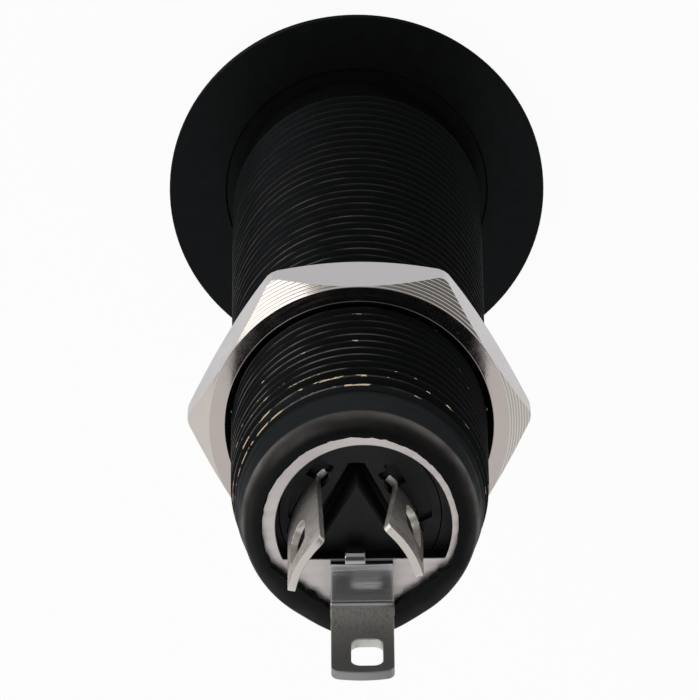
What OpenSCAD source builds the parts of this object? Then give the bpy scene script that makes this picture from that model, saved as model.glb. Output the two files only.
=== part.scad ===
// Barrel jack for a 6.35 mm three-pole plug, standing on its flange.
// Z runs along the barrel, from the flange's front face at z = 0 to the solder lugs.
// The ground lug is on the -Y side, the two contact lugs are on the +X and -X sides.

/* [Flange] */
// Diameter of the flange
flange_d = 18; // [16:0.5:22]
// Thickness of the flange
flange_t = 2; // [1.6:0.1:3]
// Height of the straight rim next to the flange's back face
flange_rim_h = 0.25; // [0.2:0.05:0.6]
// Slope of the flange's domed front where it meets the rim
flange_dome_angle = 35; // [30:1:45]
// Diameter of the shallow turned recess in the flange's back face
flange_recess_d = 12.5; // [12.4:0.1:14]
// Depth of that recess
flange_recess_depth = 0.12; // [0.05:0.01:0.3]

/* [Barrel] */
// Length from the flange's front face to the top of the rolled lip
barrel_len = 42.75; // [40:0.25:50]
// Outside diameter of the thread
thread_d = 11.9; // [11.6:0.1:12.2]
// Depth of the relief groove between the flange and the thread
relief_depth = 0.45; // [0.2:0.05:0.6]
// Length of the relief groove
relief_len = 2.4; // [1:0.1:4]
// Wall between the outside of the thread and the main bore
barrel_wall = 1.35; // [1.2:0.05:1.5]
// Bore that guides the plug and touches its sleeve
plug_bore_d = 6.4; // [6.36:0.01:6.5]
// Length of the plug bore
plug_bore_len = 8; // [5:0.5:12]
// Chamfer at the mouth of the plug bore
mouth_chamfer = 0.5; // [0.2:0.1:1]

/* [Rolled end] */
// Length from the last full turn of thread to the top of the lip
tail_len = 4.75; // [4:0.25:8]
// Length over which the thread runs out
fade_len = 1.8; // [1:0.1:2.4]
// Drop of the crest where the thread runs out
fade_depth = 0.2; // [0.1:0.05:0.3]
// Further drop from there to the foot of the lip
lip_neck = 0.3; // [0.2:0.05:0.4]
// Height of the lip's round
lip_round_h = 1.16; // [0.9:0.02:1.4]
// Wall around the end plate
lip_wall = 0.5; // [0.4:0.05:0.6]
// How far the lip is rolled in over the end plate
lip_overhang = 0.45; // [0.2:0.05:0.6]
// Depth of the end plate's face below the top of the lip
lip_drop = 0.55; // [0.3:0.05:0.8]
// Radius of the bulge that the ground lug forces into the lip
bulge_r = 3.2; // [2.6:0.1:3.6]
// How far that bulge stands out from the foot of the lip
bulge_out = 0.4; // [0.3:0.05:0.6]
// How much further the lip is folded in on each side of the ground lug
lip_fold = 0.55; // [0.3:0.05:0.6]
// Angle between the ground lug and the middle of each fold
lip_fold_angle = 38; // [34:1:44]

/* [Nut] */
// Nut size across its flats
nut_flats = 14; // [13.5:0.25:17]
// Thickness of the nut
nut_t = 3; // [2:0.25:5]
// Height of the nut's lower face above the flange's front face
nut_z = 27.8; // [8:0.2:34]
// Radius that is turned off each of the six corners
nut_corner_cut = 0.1; // [0:0.02:0.3]
// Radial clearance between the nut's bore and the thread
nut_gap = 0.15; // [0.1:0.01:0.3]
// Chamfer at both ends of the nut's bore
nut_bore_chamfer = 0.13; // [0.05:0.01:0.3]

/* [Insulation] */
// Radial clearance between pieces that are pressed together
fit_gap = 0.05; // [0.02:0.01:0.08]
// Extra radius of the liner's hole over the plug bore
guide_gap = 0.15; // [0.1:0.05:0.2]
// Lead-in chamfer at the mouth of the liner's hole
liner_lead = 0.6; // [0.3:0.05:1]
// Step that the insulator seats on inside the liner
core_step = 0.4; // [0.3:0.05:0.5]
// Length of the insulator that holds the contacts
core_len = 7; // [5:0.5:9]
// Radius of the shallow recess beside each lug
core_recess_r = 3.3; // [3.2:0.05:3.5]
// Width of that recess
core_recess_w = 3.3; // [2.8:0.1:3.6]
// Depth of that recess
core_recess_depth = 0.35; // [0.1:0.05:0.5]
// Width of the open pocket above the shoulder of each strip
pocket_w = 0.9; // [0.6:0.05:1]
// Length of that pocket, from the upper edge of the strip
pocket_len = 1.1; // [0.8:0.05:1.2]
// Distance from their middle to the two slanted grooves between the strips
groove_dist = 1.2; // [0.9:0.05:1.25]
// Sideways place of the grooves' middle
groove_x = -0.15; // [-0.2:0.05:0.2]
// Width of the grooves at the insulator's face
groove_w = 0.64; // [0.4:0.02:0.7]
// Width of the grooves at their bottom
groove_foot_w = 0.2; // [0.1:0.02:0.3]
// Depth of the grooves
groove_depth = 0.7; // [0.3:0.1:1.5]
// How far from their middle the grooves reach
groove_reach = 2.6; // [2:0.1:3]

/* [Contacts] */
// Thickness of the contact strip
strip_t = 0.35; // [0.25:0.05:0.45]
// Width of the tip contact's strip
tip_w = 2.4; // [2:0.1:2.6]
// Width of the ring contact's strip
ring_w = 2.8; // [2.2:0.1:2.9]
// Distance from the axis to the middle of the tip contact's strip
tip_dist = 2.1; // [2.05:0.05:2.4]
// Distance from the axis to the middle of the ring contact's strip
ring_dist = 2.6; // [2.2:0.05:2.65]
// Angle of each strip's outer face above the X axis
strip_lean = 27.5; // [20:0.5:35]
// Radius of the strip's bowed section
strip_bow_r = 4.5; // [4:0.25:12]
// How far the strips sit below the middle of their sides
strip_shift = 0.9; // [0.6:0.05:0.95]
// Extra width of the shoulder that holds each strip in the insulator
shoulder_w = 0.45; // [0.2:0.05:0.5]
// Depth of that shoulder below the insulator's face
shoulder_drop = 0.8; // [0.4:0.1:1.5]
// Length of the tip lug outside the insulator
tip_lug_len = 5.15; // [5:0.05:9]
// Length of the ring lug outside the insulator
ring_lug_len = 6.75; // [5:0.05:9]
// How much wider the tip lug is at its end
tip_flare = 0.55; // [0:0.05:0.7]
// How much wider the ring lug is at its end
ring_flare = 0.2; // [0:0.05:0.4]
// Corner radius at the end of the lug
lug_corner_r = 0.35; // [0.1:0.05:0.6]
// Width of the wire eye in the lug
eye_w = 1.4; // [0.8:0.1:1.6]
// Length of the wire eye
eye_len = 3; // [1.8:0.1:3.2]
// Distance from the end of the tip lug to its eye
tip_eye_inset = 1.95; // [1:0.05:2.1]
// Distance from the end of the ring lug to its eye
ring_eye_inset = 1.4; // [1:0.05:2.6]
// How far the eye sits below the middle of the strip
eye_shift = 0.1; // [0:0.05:0.15]
// Width of the contact spring inside the liner
spring_w = 2.2; // [1.6:0.1:2.4]
// Length over which the spring rises from the insulator to the liner
spring_rise = 3; // [2:0.25:3.5]
// Height of the point where the tip spring touches the plug
tip_touch_z = 27.5; // [26:0.25:28]
// Distance from the axis to that point
tip_touch_r = 2.3; // [2:0.05:2.8]
// Height of the point where the ring spring touches the plug
ring_touch_z = 23; // [21.5:0.25:24]
// Distance from the axis to that point
ring_touch_r = 2.95; // [2.6:0.05:3.1]
// Half the length of the bend at the touching point
touch_half = 2.2; // [1.5:0.1:2.5]
// Length of the spring beyond the touching point
touch_tail = 1.5; // [0.8:0.1:2]
// Room behind each spring for it to give way to the plug
spring_room = 0.4; // [0.2:0.05:0.45]
// Clearance on each side of a spring in its channel
spring_side_gap = 0.15; // [0.1:0.05:0.2]

/* [End plate] */
// Thickness of the end plate
plate_t = 1.05; // [0.6:0.05:1.4]
// Width of the plate that shows round its hole
plate_rim = 0.45; // [0.3:0.05:0.6]
// Distance from the axis to the hole's straight side
plate_chord = 1.75; // [1.2:0.05:2.2]
// Sideways shift of the hole
plate_hole_shift = 0.15; // [0:0.05:0.25]

/* [Ground lug] */
// Width of the ground lug
ground_w = 2.9; // [2:0.1:3.2]
// Thickness of the ground lug
ground_t = 0.45; // [0.3:0.05:0.6]
// Distance from the lip's inner edge to the face of the upright part
ground_setback = 0.63; // [0.5:0.01:0.9]
// Inside radius of the bend
ground_bend_r = 0.25; // [0.15:0.05:0.5]
// Outward lean of the upright part
ground_lean = 7; // [0:0.5:15]
// Length of the upright part above the end plate
ground_len = 6.45; // [5:0.05:10]
// Width of the wire hole
ground_hole_w = 1.45; // [1:0.05:2]
// Length of the wire hole
ground_hole_len = 2.3; // [1.5:0.1:3]
// Distance from the end of the lug to the wire hole
ground_hole_inset = 0.65; // [0.5:0.05:2]
// Sideways place of the wire hole
ground_hole_x = 0.2; // [-0.2:0.05:0.3]
// Distance from the plate's straight side to the inner end of the lug
ground_end_gap = 0.06; // [0.02:0.02:0.3]
// Radius of the lug's convex free end
ground_end_r = 5; // [4:0.5:12]
// Corner radius of the wire hole and of the lug's end
ground_corner_r = 0.45; // [0.2:0.05:0.7]
// Sideways place of the lug
ground_x = 0.05; // [-0.2:0.05:0.2]
// Clearance on each side of the lug in the lip's slot
ground_slot_gap = 0.1; // [0.05:0.05:0.4]
// Width of the tongue that hooks over the end plate's straight side
tongue_w = 0.95; // [0.6:0.05:1.6]
// Sideways place of the tongue
tongue_x = -0.25; // [-0.5:0.05:0.5]
// How far the tongue stands out from that side
tongue_out = 0.46; // [0.3:0.02:0.6]
// Length of the tongue down the plate's edge
tongue_len = 0.45; // [0.2:0.05:0.5]

/* [Hidden] */

$fn = 96;
// Cuts run past the solid by this much
over = 1;
// Steps in each quarter of a drawn round
arc_steps = 8;
// Steps along a contact spring
spring_steps = 40;

plug_r = plug_bore_d / 2;
flange_r = flange_d / 2;
flange_dome_r = (flange_t - flange_rim_h) / (1 - sin(flange_dome_angle));
thread_r = thread_d / 2;
relief_r = thread_r - relief_depth;
bore_r = thread_r - barrel_wall;

thread_z0 = flange_t + relief_len;
thread_z1 = barrel_len - tail_len;
fade_z = thread_z1 + fade_len;
fade_r = thread_r - fade_depth;
lip_z = barrel_len - lip_round_h;
lip_r = fade_r - lip_neck;
seat_r = lip_r - lip_wall;
lip_in_r = seat_r - lip_overhang;
plate_top = barrel_len - lip_drop;
plate_z = plate_top - plate_t;
plate_hole_r = lip_in_r - plate_rim;

bulge_y = -(lip_r + bulge_out - bulge_r);
bulge_top = (lip_z + barrel_len) / 2;
bulge_z = (fade_z + lip_z) / 2;

liner_r = bore_r - fit_gap;
liner_hole_r = plug_r + guide_gap;
core_seat_r = liner_hole_r + core_step;
core_r = core_seat_r - fit_gap;
core_z = plate_z - core_len;

// Middle of a spring where it lies back against its channel
spring_out = liner_hole_r + strip_t / 2 + fit_gap;
channel_r = spring_out + strip_t / 2 + spring_room;
channel_w = spring_w + 2 * spring_side_gap;
// A channel runs out this far behind the insulator
channel_runout = 0.5;
// The bowed strip reaches this far out of the insulator's inner end, as wide as it meets the spring
strip_lead = 0.8;

ground_y = -(lip_in_r - ground_setback);
ground_z0 = plate_top + ground_t;
ground_z1 = plate_top + ground_len;
slot_w = ground_w + 2 * ground_slot_gap;

nut_r = nut_flats / 2;
nut_corner_r = nut_r / cos(30) - nut_corner_cut;
nut_bore_r = thread_r + nut_gap;

// Points of an elliptic arc about c, from angle a0 to a1
function arc(c, rx, ry, a0, a1, n = arc_steps) =
    [for (i = [0 : n]) let (a = a0 + (a1 - a0) * i / n) [c[0] + rx * cos(a), c[1] + ry * sin(a)]];

// Unit vector along a path at its point i
function heading(path, i) =
    let (a = path[max(i - 1, 0)], b = path[min(i + 1, len(path) - 1)], d = b - a) d / norm(d);

// Outline of a strip of thickness t that follows a path
function ribbon(path, t) =
    let (last = len(path) - 1,
         side = [for (i = [0 : last]) let (d = heading(path, i)) [-d[1], d[0]] * t / 2])
    concat([for (i = [0 : last]) path[i] + side[i]], [for (i = [last : -1 : 0]) path[i] - side[i]]);

function smooth_step(s) = let (c = min(max(s, 0), 1)) c * c * (3 - 2 * c);
function bump(s) = abs(s) >= 1 ? 0 : (1 + cos(180 * s)) / 2;

// Distance from the axis to the middle of a spring at height z
function spring_x(z, dist, touch_z, touch_r) =
    spring_out - (spring_out - dist) * smooth_step((z - core_z + spring_rise) / spring_rise)
    - (spring_out - touch_r - strip_t / 2) * bump((z - touch_z) / touch_half);

// Draws a Y-Z outline and gives it a width along X
module along_x(w, x = 0) {
    translate([x, 0, 0]) rotate([90, 0, 90]) linear_extrude(w, center = true) children();
}

// Draws an X-Z outline and gives it a width along Y
module along_y(w) {
    rotate([90, 0, 0]) linear_extrude(w, center = true) children();
}

// Slot with round ends, in the plane of its outline
module round_slot(w, l) {
    square([w, l - w], center = true);
    for (s = [-1, 1]) translate([0, s * (l - w) / 2]) circle(d = w);
}

// Rectangle with round corners, in the plane of its outline
module round_rect(w, l, r) {
    square([w - 2 * r, l], center = true);
    square([w, l - 2 * r], center = true);
    for (sx = [-1, 1], sy = [-1, 1]) translate([sx * (w / 2 - r), sy * (l / 2 - r)]) circle(r);
}

// Solid outside of the barrel and its flange
module barrel_outside() {
    rotate_extrude() polygon(concat(
        [[0, 0]],
        arc([flange_r - flange_dome_r * cos(flange_dome_angle), flange_dome_r], flange_dome_r, flange_dome_r,
            -90, -flange_dome_angle),
        [[flange_r, flange_t],
         [flange_recess_d / 2, flange_t],
         [flange_recess_d / 2, flange_t - flange_recess_depth],
         [relief_r, flange_t - flange_recess_depth],
         [relief_r, thread_z0 - relief_depth],
         [thread_r, thread_z0],
         [thread_r, thread_z1],
         [fade_r, fade_z]],
        arc([lip_in_r, lip_z], lip_r - lip_in_r, lip_round_h, 0, 90),
        [[0, barrel_len]]));
}

// Bulge that the ground lug leaves in the lip
module lip_bulge() {
    translate([0, bulge_y, bulge_z]) cylinder(r = bulge_r, h = bulge_top - bulge_z);
}

// Half-plane that one fold of the lip leaves open
module inside_fold(angle) {
    rotate(angle) translate([-flange_r, lip_fold - lip_in_r]) square(2 * flange_r);
}

// Mouth of the lip, flattened where the lip is folded in beside the ground lug
module lip_mouth() {
    intersection() {
        circle(lip_in_r);
        inside_fold(lip_fold_angle);
        inside_fold(-lip_fold_angle);
    }
}

// Plug bore, main bore, seat of the end plate and mouth of the lip
module barrel_inside() {
    rotate_extrude() polygon([
        [0, -over],
        [plug_r + mouth_chamfer + over, -over],
        [plug_r, mouth_chamfer],
        [plug_r, plug_bore_len],
        [bore_r, plug_bore_len],
        [bore_r, plate_z],
        [seat_r, plate_z],
        [seat_r, plate_top],
        [0, plate_top]]);
    translate([0, 0, plate_z]) linear_extrude(barrel_len) lip_mouth();
}

module barrel() {
    slot_len = lip_r + bulge_out + over;
    color("#1b1b1d") difference() {
        union() {
            barrel_outside();
            lip_bulge();
        }
        barrel_inside();
        translate([ground_x - slot_w / 2, -slot_len, plate_top])
            cube([slot_w, slot_len, barrel_len]);
    }
}

module hex_nut() {
    chamfer_h = nut_corner_r - nut_r;
    mouth_r = nut_bore_r + nut_bore_chamfer;
    color("#d8d4cc") translate([0, 0, nut_z]) difference() {
        intersection() {
            cylinder(r = nut_r / cos(30), h = nut_t, $fn = 6);
            rotate_extrude() polygon([
                [0, 0],
                [nut_r, 0],
                [nut_corner_r, chamfer_h],
                [nut_corner_r, nut_t - chamfer_h],
                [nut_r, nut_t],
                [0, nut_t]]);
        }
        rotate_extrude() polygon([
            [0, -over],
            [mouth_r + over, -over],
            [nut_bore_r, nut_bore_chamfer],
            [nut_bore_r, nut_t - nut_bore_chamfer],
            [mouth_r + over, nut_t + over],
            [0, nut_t + over]]);
    }
}

// Room that a contact spring needs inside the liner, on the tip contact's side
module spring_channel(touch_z) {
    foot = touch_z - touch_tail - spring_room;
    rotate([0, 0, strip_lean]) translate([0, -channel_w / 2, foot])
        cube([channel_r, channel_w, core_z + channel_runout - foot]);
}

module insulating_liner() {
    color("#2a2a2c") difference() {
        translate([0, 0, plug_bore_len]) cylinder(r = liner_r, h = plate_z - plug_bore_len);
        translate([0, 0, plug_bore_len - over]) cylinder(r = liner_hole_r, h = barrel_len);
        translate([0, 0, plug_bore_len - over])
            cylinder(r1 = liner_hole_r + liner_lead + over, r2 = liner_hole_r, h = liner_lead + over);
        translate([0, 0, core_z]) cylinder(r = core_seat_r, h = barrel_len);
        spring_channel(tip_touch_z);
        mirror([1, 0, 0]) spring_channel(ring_touch_z);
    }
}

// Bowed section of a contact strip, from its lower edge to its upper edge, with room g all round
module strip_section(dist, low, high, g = 0) {
    translate([dist - strip_bow_r, 0]) intersection() {
        difference() {
            circle(strip_bow_r + strip_t / 2 + g);
            circle(strip_bow_r - strip_t / 2 - g);
        }
        translate([0, low - g]) square([2 * strip_bow_r, high - low + 2 * g]);
    }
}

// Slot for one strip with its shoulder, the pocket above it and the recess beside the lug, on the tip side
module strip_slot(dist, w) {
    pocket_depth = shoulder_drop + fit_gap;
    rotate([0, 0, strip_lean]) {
        translate([0, -strip_shift, core_z - over]) linear_extrude(core_len + 2 * over)
            strip_section(dist, -w / 2, w / 2 + shoulder_w, fit_gap);
        translate([dist - pocket_w / 2, w / 2 - strip_shift, plate_z - pocket_depth])
            cube([pocket_w, pocket_len, pocket_depth + over]);
        translate([0, 0, plate_z - core_recess_depth]) linear_extrude(core_recess_depth + over) intersection() {
            circle(core_recess_r);
            translate([dist, -core_recess_w / 2]) square([core_r, core_recess_w]);
        }
    }
}

// Groove beside the tip contact's strip, from the middle between the strips
module insulator_groove() {
    intersection() {
        rotate([0, 0, strip_lean]) translate([groove_dist, 0, plate_z]) along_y(4 * core_r) polygon([
            [-groove_foot_w / 2, -groove_depth],
            [groove_foot_w / 2, -groove_depth],
            [groove_w / 2, 0],
            [groove_w / 2, over],
            [-groove_w / 2, over],
            [-groove_w / 2, 0]]);
        translate([0, 0, plate_z - 2 * groove_depth]) linear_extrude(2 * groove_depth + 2 * over) intersection() {
            circle(groove_reach);
            translate([-fit_gap, -core_r]) square(2 * core_r);
        }
    }
}

module contact_insulator() {
    color("#202022") difference() {
        translate([0, 0, core_z]) cylinder(r = core_r, h = core_len);
        strip_slot(tip_dist, tip_w);
        mirror([1, 0, 0]) strip_slot(ring_dist, ring_w);
        translate([groove_x, 0, 0]) {
            insulator_groove();
            mirror([1, 0, 0]) insulator_groove();
        }
    }
}

// Outline of a strip and its lug, seen square to its face
module lug_outline(w, flare, lug_len, eye_inset) {
    end_z = plate_z + lug_len;
    shoulder_z = plate_z - shoulder_drop;
    top = w / 2 + flare;
    lead_low = max(strip_shift - spring_w / 2, -w / 2);
    lead_high = min(strip_shift + spring_w / 2, w / 2 + shoulder_w);
    difference() {
        polygon(concat(
            [[lead_low, core_z - strip_lead],
             [lead_low, core_z],
             [-w / 2, core_z]],
            arc([-w / 2 + lug_corner_r, end_z - lug_corner_r], lug_corner_r, lug_corner_r, 180, 90),
            arc([top - lug_corner_r, end_z - lug_corner_r], lug_corner_r, lug_corner_r, 90, 0),
            [[w / 2, plate_z],
             [w / 2, shoulder_z],
             [w / 2 + shoulder_w, shoulder_z],
             [w / 2 + shoulder_w, core_z],
             [lead_high, core_z],
             [lead_high, core_z - strip_lead]]));
        translate([-eye_shift, end_z - eye_inset - eye_len / 2]) round_slot(eye_w, eye_len);
    }
}

// One contact: lug, strip through the insulator and spring, on the tip contact's side
module contact(dist, w, flare, lug_len, eye_inset, touch_z, touch_r) {
    foot = touch_z - touch_tail;
    head = core_z - fit_gap;
    rotate([0, 0, strip_lean]) {
        translate([0, -strip_shift, 0]) intersection() {
            translate([0, 0, core_z - strip_lead]) linear_extrude(core_len + lug_len + strip_lead)
                strip_section(dist, -w / 2, w / 2 + max(flare, shoulder_w));
            along_x(2 * barrel_len) lug_outline(w, flare, lug_len, eye_inset);
        }
        along_y(spring_w) polygon(ribbon(
            [for (i = [0 : spring_steps]) let (z = foot + (head - foot) * i / spring_steps)
                [spring_x(z, dist, touch_z, touch_r), z]],
            strip_t));
    }
}

module tip_contact() {
    color("#cfcac2") contact(tip_dist, tip_w, tip_flare, tip_lug_len, tip_eye_inset, tip_touch_z, tip_touch_r);
}

module ring_contact() {
    color("#cfcac2") mirror([1, 0, 0])
        contact(ring_dist, ring_w, ring_flare, ring_lug_len, ring_eye_inset, ring_touch_z, ring_touch_r);
}

module end_plate() {
    color("#c9c6c3") translate([0, 0, plate_z]) linear_extrude(plate_t) difference() {
        circle(seat_r - fit_gap);
        intersection() {
            translate([plate_hole_shift, -plate_hole_shift]) circle(plate_hole_r);
            translate([-flange_r, -plate_chord]) square(2 * flange_r);
        }
    }
}

// Lug strip from the straight side of the end plate's hole, round the bend and up
module ground_strip() {
    mid_r = ground_bend_r + ground_t / 2;
    bend = [ground_y + ground_bend_r, ground_z0 + ground_bend_r];
    turned = arc(bend, mid_r, mid_r, -90, ground_lean - 180);
    rise = ground_z1 + over - turned[arc_steps][1];
    along_x(ground_w, ground_x) polygon(ribbon(concat(
        [[-plate_chord - ground_end_gap, plate_top + ground_t / 2]],
        turned,
        [turned[arc_steps] + rise * [-tan(ground_lean), 1]]), ground_t));
}

// Outline of the ground lug seen square to its upright part
module ground_outline() {
    hole_z = ground_z1 - ground_hole_inset - ground_hole_len / 2;
    body_h = ground_z1 - plate_z;
    difference() {
        intersection() {
            translate([0, ground_z1 - body_h / 2]) round_rect(ground_w, body_h, ground_corner_r);
            translate([0, ground_z1 - ground_end_r]) circle(ground_end_r);
        }
        translate([ground_hole_x, hole_z]) round_rect(ground_hole_w, ground_hole_len, ground_corner_r);
    }
}

// Tongue that bends down over the straight side of the end plate's hole
module ground_tongue() {
    lug_end = -plate_chord - 2 * ground_end_gap;
    along_x(tongue_w, tongue_x) polygon(concat(
        [[lug_end, plate_top],
         [-plate_chord, plate_top],
         [-plate_chord, plate_top - tongue_len],
         [tongue_out - plate_chord, plate_top - tongue_len]],
        arc([-plate_chord, ground_z0 - tongue_out], tongue_out, tongue_out, 0, 90),
        [[lug_end, ground_z0]]));
}

module ground_lug() {
    color("#bdbab6") {
        intersection() {
            ground_strip();
            translate([ground_x, 0, 0]) along_y(2 * flange_d) ground_outline();
        }
        ground_tongue();
    }
}

barrel();
hex_nut();
insulating_liner();
contact_insulator();
tip_contact();
ring_contact();
end_plate();
ground_lug();
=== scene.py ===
"""Looks of a barrel jack for a 6.35 mm plug: plated barrel, nut, end plate, solder lugs and insulation.

Sizes in the classes are millimetres, and a piece becomes metres when it is finished. The frame is the
part's own: Z runs along the barrel from the flange to the lugs, the ground lug is on the -Y side and the
tip lug on the +X side.
"""

import logging
import math
from dataclasses import dataclass, field
from enum import Enum
from functools import reduce
from typing import Callable, Iterable, Sequence

import bmesh
import bpy
from bmesh.types import BMEdge, BMesh, BMFace, BMVert
from mathutils import Matrix, Vector, noise


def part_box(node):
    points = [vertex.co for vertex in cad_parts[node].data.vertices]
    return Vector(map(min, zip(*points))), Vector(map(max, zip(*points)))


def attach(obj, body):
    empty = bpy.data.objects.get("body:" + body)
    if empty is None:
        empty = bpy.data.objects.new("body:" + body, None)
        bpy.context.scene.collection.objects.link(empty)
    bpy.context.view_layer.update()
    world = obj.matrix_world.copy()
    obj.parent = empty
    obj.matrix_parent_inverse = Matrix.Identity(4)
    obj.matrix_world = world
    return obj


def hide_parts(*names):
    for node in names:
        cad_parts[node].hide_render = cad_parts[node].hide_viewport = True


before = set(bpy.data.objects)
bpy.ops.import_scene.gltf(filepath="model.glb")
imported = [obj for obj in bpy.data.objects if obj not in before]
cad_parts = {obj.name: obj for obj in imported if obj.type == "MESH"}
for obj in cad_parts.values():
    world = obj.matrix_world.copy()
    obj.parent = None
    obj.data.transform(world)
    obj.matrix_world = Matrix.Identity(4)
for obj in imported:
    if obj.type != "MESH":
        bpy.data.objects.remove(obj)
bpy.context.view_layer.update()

MM = 0.001
MERGE = 0.002
CUT_MERGE = MERGE / 4
FIT_GAP = 0.05
SHARP_ANGLE = math.radians(20)
FLAT_ANGLE = math.radians(1)
RIM_ANGLE = math.radians(60)
RIM_STEPS = 2
NOISE_RANGE = (0.3, 0.7)
LOG = logging.getLogger("barrel_jack")

Point = tuple[float, float]
Range = tuple[float, float]
Triple = tuple[float, float, float]
Colour = tuple[float, float, float, float]
RingPoint = Callable[[float], Point]
Element = BMVert | BMEdge | BMFace
Socket = bpy.types.NodeSocket
Value = Socket | float | Sequence[float]


class Body(Enum):
    """The two bodies that move against each other."""

    JACK = "jack"
    NUT = "nut"


class Slot(Enum):
    """Material slots of the record."""

    BLACK_PLATING = "black_plating"
    NICKEL_NUT = "nickel_nut"
    LINER_PLASTIC = "liner_plastic"
    MOULDED_PLASTIC = "moulded_plastic"
    NICKEL_STRIP = "nickel_strip"
    MACHINED_PLATE = "machined_plate"
    NICKEL_LUG = "nickel_lug"


class Axis(Enum):
    """Directions along which a flat blank is sliced."""

    ACROSS = Vector((1, 0, 0))
    ALONG = Vector((0, 1, 0))


def low(node: str) -> Vector:
    """Lowest corner of a CAD node, in millimetres."""
    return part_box(node)[0] / MM


def high(node: str) -> Vector:
    """Highest corner of a CAD node, in millimetres."""
    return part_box(node)[1] / MM


def smooth(share: float) -> float:
    """Smooth step from 0 to 1."""
    held = min(max(share, 0.0), 1.0)
    return held * held * (3 - 2 * held)


def hump(share: float) -> float:
    """Smooth hump that is 1 at 0 and 0 from 1 on, on both sides."""
    return 0.0 if abs(share) >= 1 else (1 + math.cos(math.pi * share)) / 2


def off_lug_deg(place: Vector) -> float:
    """Angle about Z between a place and the ground lug's side, in degrees."""
    return math.degrees(abs(math.atan2(place.x, -place.y)))


def steps_between(start: float, end: float, count: int) -> list[float]:
    """Evenly spaced places from start to end, both among them."""
    return [start + (end - start) * i / count for i in range(count + 1)]


def arc(centre: Point, radii: Point, start_deg: float, end_deg: float, steps: int) -> list[Point]:
    """Points of an elliptic arc.

    Args:
        centre: Centre of the arc.
        radii: Radius along the first and the second coordinate.
        start_deg: Angle of the first point.
        end_deg: Angle of the last point.
        steps: Number of pieces the arc is made of.

    Returns:
        The arc's points, both ends among them.
    """
    angles = [math.radians(degrees) for degrees in steps_between(start_deg, end_deg, steps)]
    return [(centre[0] + radii[0] * math.cos(a), centre[1] + radii[1] * math.sin(a)) for a in angles]


def rounded_rectangle(centre: Point, width: float, length: float, radius: float,
                      steps: int) -> list[Point]:
    """Outline of a rectangle with round corners, counter-clockwise.

    Args:
        centre: Middle of the rectangle.
        width: Size along the first coordinate.
        length: Size along the second coordinate.
        radius: Corner radius.
        steps: Pieces in each corner.

    Returns:
        The outline's points.
    """
    x, y = width / 2 - radius, length / 2 - radius
    corners = ((x, y, 0), (-x, y, 90), (-x, -y, 180), (x, -y, 270))
    return [point
            for dx, dy, turn in corners
            for point in arc((centre[0] + dx, centre[1] + dy), (radius, radius), turn, turn + 90, steps)]


def everything(bm: BMesh) -> list[Element]:
    """All vertices, edges and faces of a mesh."""
    return [*bm.verts, *bm.edges, *bm.faces]


def only_verts(items: Iterable[Element]) -> list[BMVert]:
    """The vertices among some elements."""
    return [item for item in items if isinstance(item, BMVert)]


def open_ring(bm: BMesh, height: float) -> list[BMEdge]:
    """Open edges of a mesh at one height."""
    return [e for e in bm.edges if e.is_boundary and all(abs(v.co.z - height) < MERGE for v in e.verts)]


def sweep_ring(bm: BMesh, ring: list[BMEdge], rows: Iterable[Point | RingPoint]) -> list[BMEdge]:
    """Extrudes a closed ring of edges about Z, from row to row.

    Args:
        bm: Mesh that holds the ring.
        ring: Edges of the ring.
        rows: Radius and height of each next ring, or a function of the angle that gives them.

    Returns:
        Edges of the last ring.
    """
    for row in rows:
        made = bmesh.ops.extrude_edge_only(bm, edges=ring)["geom"]
        verts = set(only_verts(made))
        ring = [item for item in made if isinstance(item, BMEdge) and all(v in verts for v in item.verts)]
        for v in verts:
            angle = math.atan2(v.co.y, v.co.x)
            radius, height = row(angle) if callable(row) else row
            v.co = (radius * math.cos(angle), radius * math.sin(angle), height)
    return ring


def round_edges(bm: BMesh, edges: list[BMEdge], size: float, steps: int) -> None:
    """Rounds edges of a mesh.

    Args:
        bm: Mesh that holds the edges.
        edges: The edges.
        size: Size of the rounding.
        steps: Faces across the rounding.
    """
    bmesh.ops.bevel(bm, geom=edges, offset=size, offset_type="OFFSET", segments=steps, profile=0.5,
                    affect="EDGES", material=-1, clamp_overlap=True)


def finish_piece(bm: BMesh, name: str, body: Body,
                 materials: Sequence[bpy.types.Material]) -> bpy.types.Object:
    """Turns a mesh in millimetres into a piece that rides on a body and stands for the CAD node of its name.

    Args:
        bm: The finished mesh, which is freed.
        name: Name of the CAD node that the piece stands for.
        body: Body that the piece rides on.
        materials: Materials in the order of the faces' material indices.

    Returns:
        The new object.
    """
    bmesh.ops.recalc_face_normals(bm, faces=bm.faces)
    bmesh.ops.scale(bm, vec=(MM, MM, MM), verts=bm.verts)
    mesh = bpy.data.meshes.new(name)
    bm.to_mesh(mesh)
    bm.free()
    for material in materials:
        mesh.materials.append(material)
    mesh.polygons.foreach_set("use_smooth", [True] * len(mesh.polygons))
    mesh.set_sharp_from_angle(angle=SHARP_ANGLE)
    piece = bpy.data.objects.new(f"{name}_dressed", mesh)
    bpy.context.scene.collection.objects.link(piece)
    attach(piece, body.value)
    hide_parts(name)
    LOG.info("%s: %d faces", piece.name, len(mesh.polygons))
    return piece


@dataclass(frozen=True)
class Grain:
    """A noise pattern: features of about 1/scale metres, its detail and its stretch along each axis."""

    scale: float
    detail: float = 2.0
    stretch: Triple = (1, 1, 1)


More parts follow.
